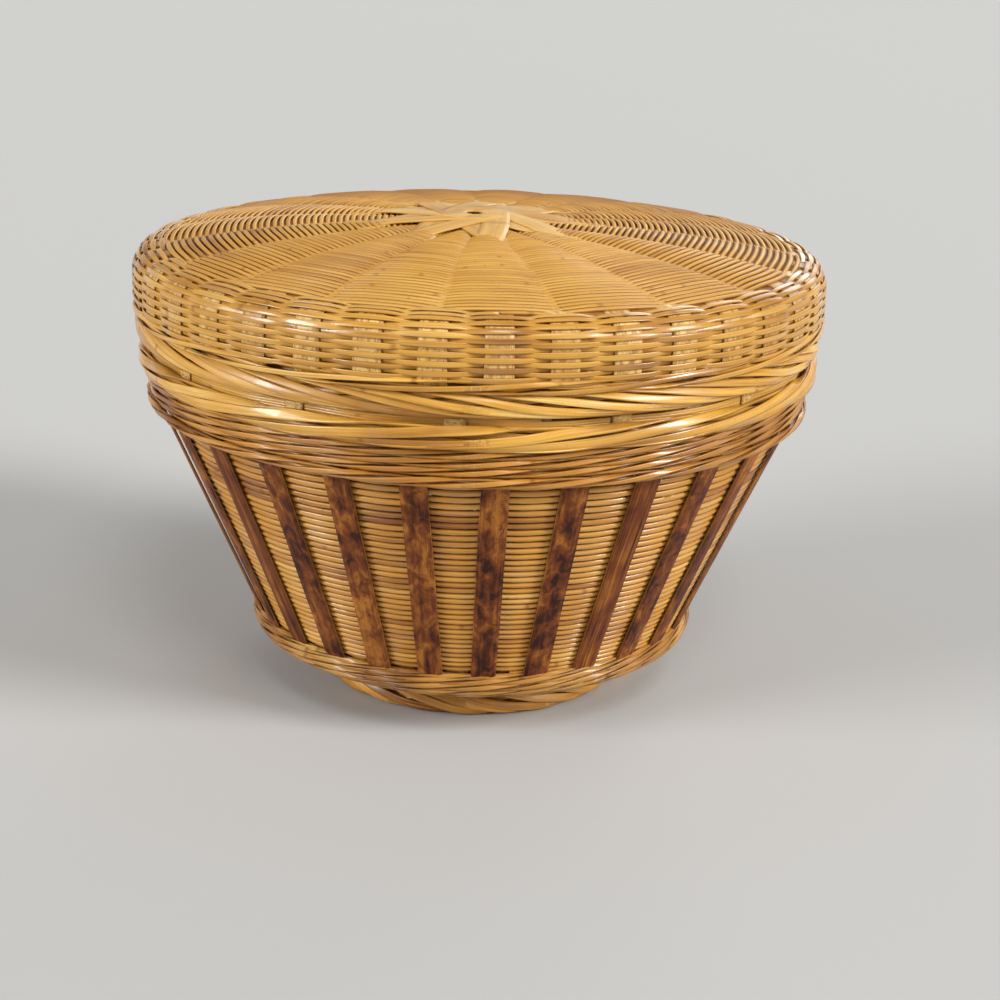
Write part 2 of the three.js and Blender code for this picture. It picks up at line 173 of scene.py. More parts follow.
def geometry_tree(name, sizes):
    """A tree for a modifier, with a named input for each size. Gives its nodes and its inputs."""
    tree = bpy.data.node_groups.new(name, "GeometryNodeTree")
    tree.interface.new_socket("Geometry", in_out="OUTPUT", socket_type="NodeSocketGeometry")
    tree.interface.new_socket("Geometry", in_out="INPUT", socket_type="NodeSocketGeometry")
    tree.interface.new_socket("Material", in_out="INPUT", socket_type="NodeSocketMaterial")
    for size in sizes:
        tree.interface.new_socket(size, in_out="INPUT", socket_type="NodeSocketFloat")
    nodes = Nodes(tree)
    return nodes, nodes.add("NodeGroupInput")


SPLINT_CORNERS = 8
ROD_CORNERS = 6
WELD = 0.002 * MM


def strip_sheet(nodes, steps, strips=1, corners=SPLINT_CORNERS):
    """The flat sheet of points that splints are rolled from, with a ring of corners at each step.

    Gives its mesh and, for a point, the step, the number of its splint, its place round the
    section, and its reach in the splint's thickness and width. The two end rings have no reach,
    which closes the splint. Rods have a round section, and splints a flat one.
    """
    rings = steps + 3
    sheet = nodes.add("GeometryNodeMeshGrid", {
        "Size X": strips * rings - 1, "Size Y": corners,
        "Vertices X": strips * rings, "Vertices Y": corners + 1,
    })
    x, y, _ = nodes.add("GeometryNodeInputPosition").parts()
    across = x + (strips * rings - 1) / 2
    ring = across % rings
    between_splints = {"Geometry": sheet, "Selection": ring > rings - 0.9}
    corner = y + corners / 2
    turn = (corner + 0.5) * (2 * math.pi / corners)
    thick, wide = turn.cosine(), turn.sine()
    if corners == ROD_CORNERS:
        half = 0.5 / math.cos(math.pi / ROD_CORNERS)
    else:
        half = 0.5
        thick = thick / abs(thick) ** 0.5
        wide = wide / abs(wide) ** 0.5
    reach = (ring > 0.5) * (ring < steps + 1.5) * half
    return {
        "mesh": nodes.add("GeometryNodeDeleteGeometry", between_splints, domain="FACE"),
        "step": (ring - 1).at_least(0).at_most(steps),
        "splint": math.floor((across + 0.25) / rings),
        "round": (corner + 0.5) / corners,
        "thick": thick * reach,
        "wide": wide * reach,
    }


def rolled(nodes, inputs, sheet, place, along, shade):
    """Moves the sheet's points to their places, welds each splint shut, and ends the tree."""
    mesh = nodes.add("GeometryNodeStoreNamedAttribute", {
        "Geometry": sheet["mesh"], "Name": "UVMap",
        "Value": nodes.vector(along, sheet["round"], 0),
    }, data_type="FLOAT2", domain="CORNER")
    mesh = nodes.add("GeometryNodeStoreNamedAttribute", {
        "Geometry": mesh, "Name": "shade", "Value": shade,
    }, data_type="FLOAT", domain="POINT")
    mesh = nodes.add("GeometryNodeSetPosition", {"Geometry": mesh, "Position": place})
    mesh = nodes.add("GeometryNodeMergeByDistance", {"Geometry": mesh, "Distance": WELD})
    mesh = nodes.add("GeometryNodeSetShadeSmooth", {"Geometry": mesh})
    mesh = nodes.add("GeometryNodeRealizeInstances", {"Geometry": mesh})
    mesh = nodes.add("GeometryNodeSetMaterial", {"Geometry": mesh, "Material": inputs["Material"]})
    nodes.add("NodeGroupOutput", {"Geometry": mesh})
    return nodes.tree


def chance(nodes, number, seed):
    """A number from 0 to 1 that is random for each whole number."""
    return nodes.add("FunctionNodeRandomValue", {"ID": number, "Seed": seed})


def line_mesh(name, lines):
    """A mesh of plain lines through points, for a tree to follow."""
    mesh = bpy.data.meshes.new(name)
    points = [point for line in lines for point in line]
    edges = []
    start = 0
    for line in lines:
        edges += [(start + step, start + step + 1) for step in range(len(line) - 1)]
        start += len(line)
    mesh.from_pydata(points, edges, [])
    return mesh


def face_outwards(mesh):
    """Turns the mesh's faces round if it is inside out."""
    corners = np.zeros(len(mesh.vertices) * 3)
    mesh.vertices.foreach_get("co", corners)
    mesh.calc_loop_triangles()
    triangles = np.zeros(len(mesh.loop_triangles) * 3, int)
    mesh.loop_triangles.foreach_get("vertices", triangles)
    a, b, c = corners.reshape(-1, 3)[triangles.reshape(-1, 3)].transpose(1, 0, 2)
    if np.einsum("ij,ij->i", a, np.cross(b, c)).sum() < 0:
        mesh.flip_normals()


def grown(name, body, replaced, tree, finish, sizes, lines=()):
    """Runs a tree once, and makes its result a plain piece that stands for the CAD nodes."""
    piece = bpy.data.objects.new(name, line_mesh(name, lines))
    bpy.context.scene.collection.objects.link(piece)
    modifier = piece.modifiers.new("grown", "NODES")
    modifier.node_group = tree
    values = {"Material": finish, **sizes}
    for item in tree.interface.items_tree:
        if item.in_out == "INPUT" and item.name in values:
            modifier[item.identifier] = values[item.name]
    graph = bpy.context.evaluated_depsgraph_get()
    mesh = bpy.data.meshes.new_from_object(piece.evaluated_get(graph))
    piece.modifiers.clear()
    piece.data = mesh
    face_outwards(mesh)
    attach(piece, body)
    if replaced:
        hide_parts(*replaced)


def new_finish(name):
    """A new material, with its nodes and its surface shader."""
    material = bpy.data.materials.new(name)
    material.use_nodes = True
    return material, Nodes(material.node_tree), material.node_tree.nodes["Principled BSDF"]


class Splint:
    """Where a point is on its splint: along it in metres, and round it from 0 to 1. The shade
    is the splint's own, from 0 to 1."""

    def __init__(self, nodes):
        self.nodes = nodes
        self.place = nodes.add("ShaderNodeTexCoord")["Object"]
        self.along, self.round, _ = nodes.add("ShaderNodeUVMap", uv_map="UVMap").parts()
        self.shade = nodes.add("ShaderNodeAttribute", attribute_name="shade")["Fac"]

    def grain(self, a_metre, a_round, apart, detail, roughness=0.5):
        """Noise drawn out along the splint. Apart sets how far it differs from the next one's."""
        spot = self.nodes.vector(self.along * a_metre, self.round * a_round, self.shade * apart)
        return self.nodes.noise(spot, 1.0, detail, roughness)

    def edges(self, outer, inner):
        """1 on the two long edges, 0 on the faces."""
        return abs(abs(self.round % 1.0 - 0.5) - 0.25).rising(outer, inner)


JOINTS_A_METRE = 3.4
JOINT_HALF = 0.006
PATCHES_A_METRE = 22.0
SPECKS_A_METRE = 700.0
POLISH_A_METRE = 75.0
FAR_SIDE_BROWN = (0.26, 0.085, 0.018, 1)


def bamboo(name, deep, middle, light, fibre=0.35, gloss=0.36, coat=0.25, relief=0.25, mixed=0.34,
           far_brown=0.0):
    """Split bamboo: tones from splint to splint, fibres along it, joints, patches of wear, and
    painted shade along the long edges.

    Mixed is how far the splints differ. Far brown makes the splints on the object's far half, away
    from the front, browner.
    """
    material, nodes, shader = new_finish(name)
    splint = Splint(nodes)
    fibres = splint.grain(40, 26, 90, detail=4.0, roughness=0.65)
    streaks = splint.grain(9, 4, 70, detail=2.0)
    patches = nodes.noise(splint.place, PATCHES_A_METRE, 3.0)
    joint = abs((splint.along * JOINTS_A_METRE + splint.shade * 7.0) % 1.0 - 0.5)
    ring = 1 - joint.rising(0.0, JOINT_HALF)
    tone = (splint.shade - 0.5) * mixed + streaks * 0.5 + patches * 0.75 - 0.16
    colour = nodes.mix(tone.rising(0.1, 0.5), deep, middle)
    colour = nodes.mix(tone.rising(0.45, 0.95), colour, light)
    colour = nodes.mix(fibres.rising(0.58, 0.38) * fibre, colour, deep)
    specks = nodes.noise(splint.place, SPECKS_A_METRE, 2.0).rising(0.66, 0.74)
    specks = specks * patches.rising(0.48, 0.62)
    # Dark joint rings and dark specks of wear are the bamboo's own. The darkening along the two
    # long edges is painted shade, where the rods meet.
    joints_specks_and_edge_shade = (ring * 0.6 + splint.edges(0.08, 0.02) * 0.7 + specks * 0.5).at_most(1)
    colour = nodes.mix(joints_specks_and_edge_shade, colour, deep)
    # Splints on the far half, away from the front, are mixed towards brown.
    if far_brown:
        _, far, _ = splint.place.parts()
        share = (far + (patches - 0.5) * 0.1).rising(0.02, 0.11) * far_brown
        colour = nodes.mix(share, colour, FAR_SIDE_BROWN)
    polish = nodes.noise(splint.place, POLISH_A_METRE, 1.0).rising(0.48, 0.66)
    nodes.fill(shader, {
        "Base Color": colour,
        "Roughness": fibres * 0.22 + patches * 0.12 + (gloss - 0.16),
        "Coat Weight": (polish * 2.4 + 0.3) * coat,
        "Coat Roughness": 0.14,
        "Normal": nodes.bump(fibres + ring * 1.5, relief, 0.15 * MM),
    })
    return material


BENDS_A_STRAND = 1.6
STRAYS = {"turn": 1.6, "depth": 0.8, "rise": 0.5, "width": 0.35}


def twisted_tree(name, strands, leaves, steps):
    """Splints wound round a ring, which together show a number of leaves.

    A strand goes round the ring as often as there are strands, and so is one closed line.
    Negative leaves fall to the right. Looseness is how far a strand strays from the rule.
    """
    nodes, size = geometry_tree(name, [
        "Ring Radius", "Ring Height", "Depth", "Rise", "Lean", "Splint Width",
        "Splint Thickness", "Shingle", "Sweep", "Looseness", "Seed",
    ])
    sheet = strip_sheet(nodes, strands * steps)
    angle = sheet["step"] * (2 * math.pi / steps)
    loop = angle / strands
    bends = strands * BENDS_A_STRAND
    spot = nodes.vector(loop.cosine() * bends, loop.sine() * bends, size["Seed"])
    swell, shift, slack = (part - 0.5 for part in nodes.noise(spot, 1.0, 2.0)["Color"].parts())
    twist = angle * (leaves / strands) + shift * STRAYS["turn"] * size["Looseness"]
    depth = size["Depth"] * (1 + slack * size["Looseness"] * STRAYS["depth"])
    rise = size["Rise"] * (1 + swell * size["Looseness"] * STRAYS["rise"])
    leaf = math.floor(twist / (2 * math.pi) + 0.25)
    twist = twist - twist.cosine() * size["Sweep"]
    out, up = twist.cosine(), twist.sine()
    span = ((rise * out) ** 2 + (depth * up) ** 2) ** 0.5
    face = (depth * up / span).angle_over(rise * out / span) + size["Shingle"]
    width = size["Splint Width"] * (1 + swell * STRAYS["width"])
    thick = sheet["thick"] * size["Splint Thickness"]
    wide = sheet["wide"] * width
    deep = depth * out + face.cosine() * thick - face.sine() * wide
    high = rise * up + face.sine() * thick + face.cosine() * wide
    lean = size["Lean"]
    radius = size["Ring Radius"] + deep * lean.cosine() + high * lean.sine()
    height = size["Ring Height"] - deep * lean.sine() + high * lean.cosine()
    place = nodes.vector(radius * angle.sine(), -(radius * angle.cosine()), height)
    return rolled(nodes, size, sheet, place, angle * size["Ring Radius"],
                  chance(nodes, leaf, abs(leaves) + strands))


foot_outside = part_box("foot_strand_1")[1].x
foot_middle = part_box("foot_hoop")[1].z / 2
amber = bamboo("amber bamboo", (0.19, 0.052, 0.006, 1), (0.72, 0.34, 0.050, 1),
               (0.92, 0.60, 0.16, 1), gloss=0.42)
grown("foot_splints", "basket", [f"foot_strand_{n}" for n in (1, 2, 3)],
      twisted_tree("foot splints", strands=7, leaves=-24, steps=144), amber, {
          "Ring Radius": foot_outside - 2.6 * MM, "Ring Height": foot_middle + 0.4 * MM,
          "Depth": 2.0 * MM, "Rise": 4.6 * MM, "Splint Width": 3.6 * MM,
          "Splint Thickness": 1.0 * MM, "Shingle": 0.4, "Sweep": 0.35, "Looseness": 0.6,
          "Seed": 3.0,
      })


def refinish(name, finish):
    """Gives a CAD node that stays in sight a finish of its own."""
    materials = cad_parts[name].data.materials
    materials.clear()
    materials.append(finish)


HOOP_FIBRES_A_METRE = 900
HOOP_PATCHES_A_METRE = 35.0


def plain_bamboo(name, deep, light):
    """The finish of a flat bamboo hoop. Its fibres run round the basket's axis."""
    material, nodes, shader = new_finish(name)
    place = nodes.add("ShaderNodeTexCoord")["Object"]
    x, y, z = place.parts()
    from_axis = (x * x + y * y) ** 0.5
    section = nodes.vector(from_axis * HOOP_FIBRES_A_METRE, z * HOOP_FIBRES_A_METRE, 0.0)
    fibres = nodes.noise(section, 1.0, 3.0)
    patches = nodes.noise(place, HOOP_PATCHES_A_METRE, 3.0)
    tone = fibres * 0.6 + patches * 0.7 - 0.15
    nodes.fill(shader, {
        "Base Color": nodes.mix(tone.rising(0.2, 0.8), deep, light),
        "Roughness": fibres * 0.25 + 0.33,
        "Normal": nodes.bump(fibres, 0.2, 0.2 * MM),
    })
    return material


hoop_bamboo = plain_bamboo("hoop bamboo", (0.17, 0.055, 0.010, 1), (0.46, 0.21, 0.045, 1))
refinish("foot_hoop", hoop_bamboo)

# Stakes. Flat pale splints cross in the middle of the floor, turn up at the heel and climb the
# inside of the side to the top of the collar. The fine rods are woven round them.


DRIFTS_A_SPLINT = 3
RAGGED_WIDTH = 0.25
RAGGED_LIFT = 0.4
UPRIGHT_LENGTH = 0.2


def upright_tree(name, count, steps):
    """Flat splints that all follow one profile line, each at its own angle round the axis.

    Inside the pile radius they lie in a pile, each lower than the one before. Crowding is the
    share of the room between two neighbours that a splint may take.
    """
    nodes, size = geometry_tree(name, [
        "Start Width", "End Width", "Thickness", "Sink", "First Angle", "Crowding", "Crown",
        "Raggedness", "Pile", "Pile Radius", "Seed",
    ])
    sheet = strip_sheet(nodes, steps, count)
    line = nodes.add("GeometryNodeMeshToCurve", {"Mesh": size["Geometry"]})
    share = sheet["step"] / steps
    spot = nodes.add("GeometryNodeSampleCurve", {"Curves": line, "Factor": share}, mode="FACTOR")
    radius, _, height = spot["Position"].parts()
    along_r, _, along_z = spot["Tangent"].parts()
    number = sheet["splint"]
    angle = number * (2 * math.pi / count) + size["First Angle"]
    drift = nodes.vector(share * DRIFTS_A_SPLINT, number * 7.3, size["Seed"])
    side, out, swell = (part - 0.5 for part in nodes.noise(drift, 1.0)["Color"].parts())
    room = radius * (2 * math.pi / count) * size["Crowding"]
    width = (size["Start Width"] * (1 - share) + size["End Width"] * share).at_most(room)
    width = width * (1 + swell * size["Raggedness"] * RAGGED_WIDTH)
    bulge = (1 - (sheet["wide"] * 2) ** 2) * (sheet["thick"] > 0) * size["Crown"]
    pile = (number % (count / 2)) * (2 / count) * size["Pile"]
    pile = pile * (1 - (radius / size["Pile Radius"]).rising(0.75, 1.0))
    off = sheet["thick"] * size["Thickness"] + bulge - size["Sink"] - pile
    off = off + out * size["Raggedness"] * RAGGED_LIFT * MM
    beside = sheet["wide"] * width + side * size["Raggedness"] * MM
    radius = radius + along_z * off
    height = height - along_r * off
    east, north = angle.sine(), -angle.cosine()
    place = nodes.vector(radius * east - beside * north, radius * north + beside * east, height)
    return rolled(nodes, size, sheet, place, share * UPRIGHT_LENGTH,
                  chance(nodes, number, size["Seed"]))


def ring_point(radius, height):
    """A point of a profile line, from millimetres."""
    return Vector((radius * MM, 0, height * MM))


floor_low, floor_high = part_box("floor_weave")
collar_low, collar_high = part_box("collar_weave")

# The profile from the middle of the floor to the collar's top edge, on the weave's outer face
CROSSING_HEIGHT = 14.3
floor_middle = ring_point(0, CROSSING_HEIGHT)
floor_edge = Vector((floor_high.x, 0, floor_low.z))
heel = ring_point(78, 18.3)
panel_bottom = ring_point(90.4, 29.3)
panel_top = ring_point(129.7, 120.3)
collar_foot = Vector((collar_high.x, 0, collar_low.z))
collar_top = Vector((collar_high.x, 0, collar_high.z))

SLAT_COUNT = 28
SLAT_PITCH = 2 * math.pi / SLAT_COUNT
FRONT_SLAT = math.radians(3.2)
front_stake = FRONT_SLAT + SLAT_PITCH / 2

pale = bamboo("pale inner bamboo", (0.36, 0.15, 0.025, 1), (0.84, 0.55, 0.17, 1),
              (0.98, 0.78, 0.36, 1), fibre=0.8, gloss=0.45, coat=0.1, relief=0.6)
grown("inner_stakes", "basket", ["stake_frame"],
      upright_tree("inner stakes", SLAT_COUNT, steps=60), pale, {
          "Start Width": 9.4 * MM, "End Width": 9.4 * MM, "Thickness": 1.2 * MM,
          "Sink": 1.7 * MM, "First Angle": front_stake, "Crowding": 4.0, "Raggedness": 0.4,
          "Pile": 2.4 * MM, "Pile Radius": 44 * MM, "Seed": 1.0,
      }, [[floor_middle, floor_edge, heel, panel_bottom, panel_top, collar_foot, collar_top]])

# Floor and heel. Fine split rods are woven over one stake and under the next, from the crossed
# stakes out to the heel, where the wall begins.


WANDERS_A_METRE = 45
MEAN_RADIUS = 0.11
SPLICES_A_ROD = 977


def woven_tree(name, turns, stakes, steps_a_stake, starts, corners):
    """Rods woven in and out of stakes, row beside row along a profile line.

    An odd number of stakes takes one rod that goes round and round, an even number takes two
    that chase each other. With packing, the rows grow wider along the line. A high squareness
    lets a rod turn sharply between two stakes.
    """
    nodes, size = geometry_tree(name, [
        "Length", "Packing", "First Stake", "Swing", "Squareness", "Rod Height",
        "Rod Thickness", "Sink", "Wander", "Splint Length", "Seed",
    ])
    steps = stakes * steps_a_stake
    sheet = strip_sheet(nodes, turns * steps, starts, corners)
    rounds = sheet["step"] / steps
    angle = rounds * (2 * math.pi)
    row = (sheet["splint"] + rounds * starts + 0.5) / (starts * (turns + 1))
    climb = (row * size["Packing"] + (1 - size["Packing"])) * row * size["Length"]
    line = nodes.add("GeometryNodeMeshToCurve", {"Mesh": size["Geometry"]})
    spot = nodes.add("GeometryNodeSampleCurve", {"Curves": line, "Length": climb}, mode="LENGTH")
    radius, _, height = spot["Position"].parts()
    along_r, _, along_z = spot["Tangent"].parts()
    beat = (angle * (stakes / 2) + sheet["splint"] * math.pi).cosine()
    square = size["Squareness"]
    wave = square * beat / ((square * square - 1) * beat * beat + 1) ** 0.5
    bearing = angle + size["First Stake"]
    near = nodes.vector(radius * bearing.sine() * WANDERS_A_METRE,
                        radius * bearing.cosine() * WANDERS_A_METRE,
                        height * WANDERS_A_METRE + size["Seed"])
    drift, rise, _ = (part - 0.5 for part in nodes.noise(near, 1.0)["Color"].parts())
    alone = nodes.noise(nodes.vector(angle * 2.2, sheet["splint"] * 9 + size["Seed"], 0.0), 1.0)
    own, fat, lift = (part - 0.5 for part in alone["Color"].parts())
    off = (wave * size["Swing"] - size["Sink"] + drift * size["Wander"]
           + own * size["Wander"] * 0.3 + sheet["thick"] * size["Rod Thickness"])
    packed = (1 - size["Packing"] + row * size["Packing"] * 2).at_least(0.85)
    swell = 0.85 + 0.15 * wave * wave + fat * 0.3
    beside = (sheet["wide"] * size["Rod Height"] * packed * swell
              + (rise * 1.2 + lift * 0.5) * size["Wander"])
    radius = radius + along_z * off + along_r * beside
    height = height - along_r * off + along_z * beside
    place = nodes.vector(radius * bearing.sine(), -(radius * bearing.cosine()), height)
    along = angle * MEAN_RADIUS
    splice = math.floor(along / size["Splint Length"]) + sheet["splint"] * SPLICES_A_ROD
    return rolled(nodes, size, sheet, place, along, chance(nodes, splice, turns))


def length_of(line):
    return sum((b - a).length for a, b in zip(line, line[1:]))


honey = bamboo("honey bamboo rods", (0.26, 0.080, 0.007, 1), (0.73, 0.385, 0.058, 1),
               (0.93, 0.64, 0.20, 1), gloss=0.32, coat=0.3)


ROD_LENGTH = 0.83


def woven(name, body, replaced, line, rows, stakes, steps_a_stake, starts, sizes,
          corners=ROD_CORNERS, finish=honey):
    """Rods woven from one end of a profile line to the other, spliced where one ends."""
    tree = woven_tree(name.replace("_", " "), rows // starts, stakes, steps_a_stake, starts,
                      corners)
    grown(name, body, replaced, tree, finish,
          {"Length": length_of(line), "Splint Length": ROD_LENGTH, **sizes}, [line])


floor_start = ring_point(41, CROSSING_HEIGHT)
woven("floor_rods", "basket", ["floor_weave"], [floor_start, floor_edge, heel, panel_bottom],
      rows=34, stakes=SLAT_COUNT, steps_a_stake=6, starts=2, sizes={
          "First Stake": front_stake, "Swing": 0.95 * MM, "Squareness": 1.6,
          "Rod Height": 1.9 * MM, "Rod Thickness": 0.8 * MM, "Sink": 1.6 * MM,
          "Wander": 0.4 * MM, "Seed": 11.0,
      })

# Side. Smooth round rods lie one above the other. They pass outside the pale stakes and inside
# the dark slats, which hold them like a sandwich.
tan = bamboo("tan bamboo rods", (0.22, 0.060, 0.006, 1), (0.62, 0.285, 0.038, 1),
             (0.88, 0.54, 0.14, 1), gloss=0.32, coat=0.3, mixed=0.3)
SLAT_TUCK = 2.4 * MM
tuck = (panel_top - panel_bottom).normalized() * SLAT_TUCK
woven("side_rods", "basket", ["side_weave"], [panel_bottom, panel_top + tuck],
      rows=35, stakes=2 * SLAT_COUNT, steps_a_stake=4, starts=1, sizes={
          "Packing": 0.15, "First Stake": front_stake, "Swing": 0.25 * MM, "Squareness": 1.0,
          "Rod Height": 2.45 * MM, "Rod Thickness": 1.8 * MM, "Sink": 1.0 * MM,
          "Wander": 0.22 * MM, "Seed": 21.0,
      }, finish=tan)

# Dark slats. Wide strips of stained, mottled bamboo stand outside the rods. Both their ends are
# tucked under the rows that close the side above and below.
NEARLY_BLACK = (0.032, 0.007, 0.003, 1)
RED_BROWN = (0.16, 0.038, 0.007, 1)
CHESTNUT = (0.42, 0.15, 0.022, 1)
CRACK_BLACK = (0.014, 0.004, 0.002, 1)
PALE_EDGE_TONE = (0.45, 0.22, 0.07, 1)
SWIRLS_A_METRE = 250.0
BLOTS_A_METRE = 75.0
CRACKS_A_METRE = 190.0


def mottled_bamboo(name):
    """Stained slats: dark blots and swirls over red brown, with fine cracks and a pale edge.

    Most slats are burled, and the others have straight grooves.
    """
    material, nodes, shader = new_finish(name)
    splint = Splint(nodes)
    drawn_out = nodes.add("ShaderNodeVectorMath", {0: splint.place, 1: (1.0, 1.0, 0.45)},
                          operation="MULTIPLY")
    swirls = nodes.noise(drawn_out, SWIRLS_A_METRE, 5.0, 0.6, 0.8)
    blots = nodes.noise(drawn_out, BLOTS_A_METRE, 3.0, 0.5, 0.8)
    grooves = splint.grain(12, 34, 60, detail=3.0)
    burled = (splint.shade * 5.0 % 1.0).rising(0.2, 0.6)
    stain = (swirls - 0.5) * (burled * 0.9 + 0.25) + (blots - 0.5) * (burled * 0.5 + 0.7)
    stain = stain + (grooves - 0.5) * (1.2 - burled * 0.7) + splint.shade * 0.12 + 0.42
    colour = nodes.mix(stain.rising(0.22, 0.52), NEARLY_BLACK, RED_BROWN)
    colour = nodes.mix(stain.rising(0.46, 0.86), colour, CHESTNUT)
    veins = nodes.noise(drawn_out, CRACKS_A_METRE, 2.0, 0.5, 2.2)
    crack = 1 - abs(veins - 0.5).rising(0.0, 0.02)
    colour = nodes.mix(crack * blots.rising(0.5, 0.6) * burled * 0.6, colour, CRACK_BLACK)
    # A paler line along the two long edges of each slat.
    colour = nodes.mix(splint.edges(0.07, 0.05) * 0.5, colour, PALE_EDGE_TONE)
    nodes.fill(shader, {
        "Base Color": colour,
        "Roughness": grooves * 0.25 + swirls * 0.2 + 0.3,
        "Specular IOR Level": 0.2,
        "Normal": nodes.bump(grooves + swirls * 0.3 - crack, 0.35, 0.2 * MM),
    })
    return material


dark = mottled_bamboo("mottled dark bamboo")
grown("dark_slats", "basket",
      [f"dark_slat_{n:02d}" for n in range(1, SLAT_COUNT + 1)],
      upright_tree("dark slats", SLAT_COUNT, steps=40), dark, {
          "Start Width": 10 * MM, "End Width": 10.7 * MM, "Thickness": 1.1 * MM,
          "Sink": -0.75 * MM, "First Angle": FRONT_SLAT, "Crowding": 2.0, "Crown": 0.25 * MM,
          "Raggedness": 0.5, "Seed": 4.0,
      }, [[panel_bottom - tuck, panel_top + tuck]])

# Wale rows. Thin splints are twined in threes round the top and the bottom of the slats, and pull
# their ends in against the rods. Behind the upper rows the fine rods go on to the collar.
WALE_STRANDS = 3
HEEL_RINGS = (
    (91.9, 27.6), (92.0, 25.2), (90.9, 22.9), (88.3, 21.1), (84.6, 19.4), (88.6, 25.0),
    (85.2, 22.1), (81.3, 18.9), (90.9, 29.2),
)
wale_tree = twisted_tree("wale", WALE_STRANDS, leaves=SLAT_COUNT, steps=6 * SLAT_COUNT)


def wale(name, replaced, radius, height, finish, sizes):
    """Three splints twined round the basket's side."""
    grown(name, "basket", replaced, wale_tree, finish, {
        "Ring Radius": radius, "Ring Height": height, "Splint Width": 2.0 * MM,
        "Splint Thickness": 0.9 * MM, "Shingle": 0.1, **sizes,
    })


def lean_of(low, high):
    """How far a wall between two points of the profile leans out."""
    return math.atan2((high - low).x, (high - low).z)


# A darker copy of the honey finish for the upper wales. Its darkness is painted shade under the
# rim and the lid.
wale_shade_honey = bamboo("honey bamboo with painted wale shade", (0.16, 0.042, 0.004, 1), (0.56, 0.245, 0.034, 1),
              (0.82, 0.49, 0.12, 1), gloss=0.36, coat=0.2)
for number in (1, 2, 3, 4):
    low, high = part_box(f"upper_wale_{number}")
    wale(f"upper_wale_splints_{number}", [f"upper_wale_{number}"], high.x - 1.4 * MM,
         (low.z + high.z) / 2, wale_shade_honey, {
             "Depth": 0.95 * MM, "Rise": 1.35 * MM, "Lean": lean_of(panel_top, collar_foot),
             "Looseness": 0.9, "Seed": 14.0 + number * 3,
         })
# A darker copy of the honey finish for the heel rows. Its darkness is painted shade, as under the
# overhanging side and lid.
heel_shade_honey = bamboo("honey bamboo with painted heel shade", (0.13, 0.036, 0.004, 1), (0.46, 0.205, 0.030, 1),
                     (0.72, 0.43, 0.10, 1), gloss=0.38, coat=0.15)
for number, (radius, height) in enumerate(HEEL_RINGS, 1):
    replaced = [f"heel_wale_{number}"] if number <= 2 else []
    wale(f"heel_wale_splints_{number}", replaced, radius * MM, height * MM, heel_shade_honey, {
        "Depth": 0.85 * MM, "Rise": 1.05 * MM,
        "Lean": lean_of(heel, panel_bottom) * min(1, 0.25 * number),
        "Looseness": 0.8, "Seed": 30.0 + number * 3,
    })
woven("wale_rods", "basket", [], [panel_top, collar_foot],
      rows=5, stakes=SLAT_COUNT, steps_a_stake=4, starts=1, sizes={
          "First Stake": front_stake, "Swing": 0.2 * MM, "Squareness": 1.0,
          "Rod Height": 2.6 * MM, "Rod Thickness": 0.9 * MM, "Sink": 0.8 * MM,
          "Wander": 0.1 * MM, "Seed": 27.0,
      })

# Rim. Long flat splints are wound over a hoop round the mouth, where the side ends and the
# collar begins. Above them the last woven rows show in the gap under the lid.
rim_low, rim_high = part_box("rim_hoop")
rim_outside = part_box("rim_strand_1")[1].x
grown("rim_splints", "basket", [f"rim_strand_{n}" for n in (1, 2, 3, 4)],
      twisted_tree("rim splints", strands=5, leaves=18, steps=180), honey, {
          "Ring Radius": rim_outside - 1.9 * MM, "Ring Height": rim_low.z + 4.0 * MM,
          "Depth": 1.35 * MM, "Rise": 3.4 * MM, "Splint Width": 3.7 * MM,
          "Splint Thickness": 1.0 * MM, "Shingle": 0.12, "Sweep": 0.2, "Looseness": 0.7,
          "Seed": 31.0,
      })
rim_face = rim_high.x + 0.2 * MM
rim_line = [Vector((rim_high.x, 0, rim_low.z + 5 * MM)),
            Vector((rim_face, 0, rim_high.z - 3.4 * MM)), Vector((rim_face, 0, rim_high.z))]
grown("rim_stake_ends", "basket", ["rim_hoop"],
      upright_tree("rim stake ends", SLAT_COUNT, steps=6), pale, {
          "Start Width": 8 * MM, "End Width": 8 * MM, "Thickness": 0.7 * MM,
          "Sink": 1.15 * MM, "First Angle": front_stake, "Crowding": 2.0, "Raggedness": 0.3,
          "Seed": 8.0,
      }, [rim_line])
woven("rim_rows", "basket", [], rim_line,
      rows=5, stakes=SLAT_COUNT, steps_a_stake=6, starts=1, sizes={
          "First Stake": front_stake, "Swing": 0.75 * MM, "Squareness": 1.6,
          "Rod Height": 1.4 * MM, "Rod Thickness": 0.7 * MM, "Sink": 1.15 * MM,
          "Wander": 0.3 * MM, "Seed": 35.0,
      })

# Collar. The stakes go on straight up from the rim, and fine rods are woven round them. Its top
# edge is bound with a splint. The lid slides down over it.
woven("collar_rods", "basket", ["collar_weave"], [collar_foot, collar_top],
      rows=18, stakes=SLAT_COUNT, steps_a_stake=6, starts=2, sizes={
          "First Stake": front_stake, "Swing": 0.95 * MM, "Squareness": 1.6,
          "Rod Height": 1.9 * MM, "Rod Thickness": 0.8 * MM, "Sink": 1.6 * MM,
          "Wander": 0.3 * MM, "Seed": 41.0,
      })
binding_low, binding_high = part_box("collar_binding")
grown("collar_binding_splints", "basket", ["collar_binding"],
      twisted_tree("collar binding", strands=4, leaves=-71, steps=480), honey, {
          "Ring Radius": binding_high.x - 1.35 * MM,
          "Ring Height": (binding_low.z + binding_high.z) / 2,
          "Depth": 1.0 * MM, "Rise": 0.85 * MM, "Splint Width": 1.9 * MM,
          "Splint Thickness": 0.6 * MM, "Shingle": 0.15, "Looseness": 0.3, "Seed": 45.0,
      })

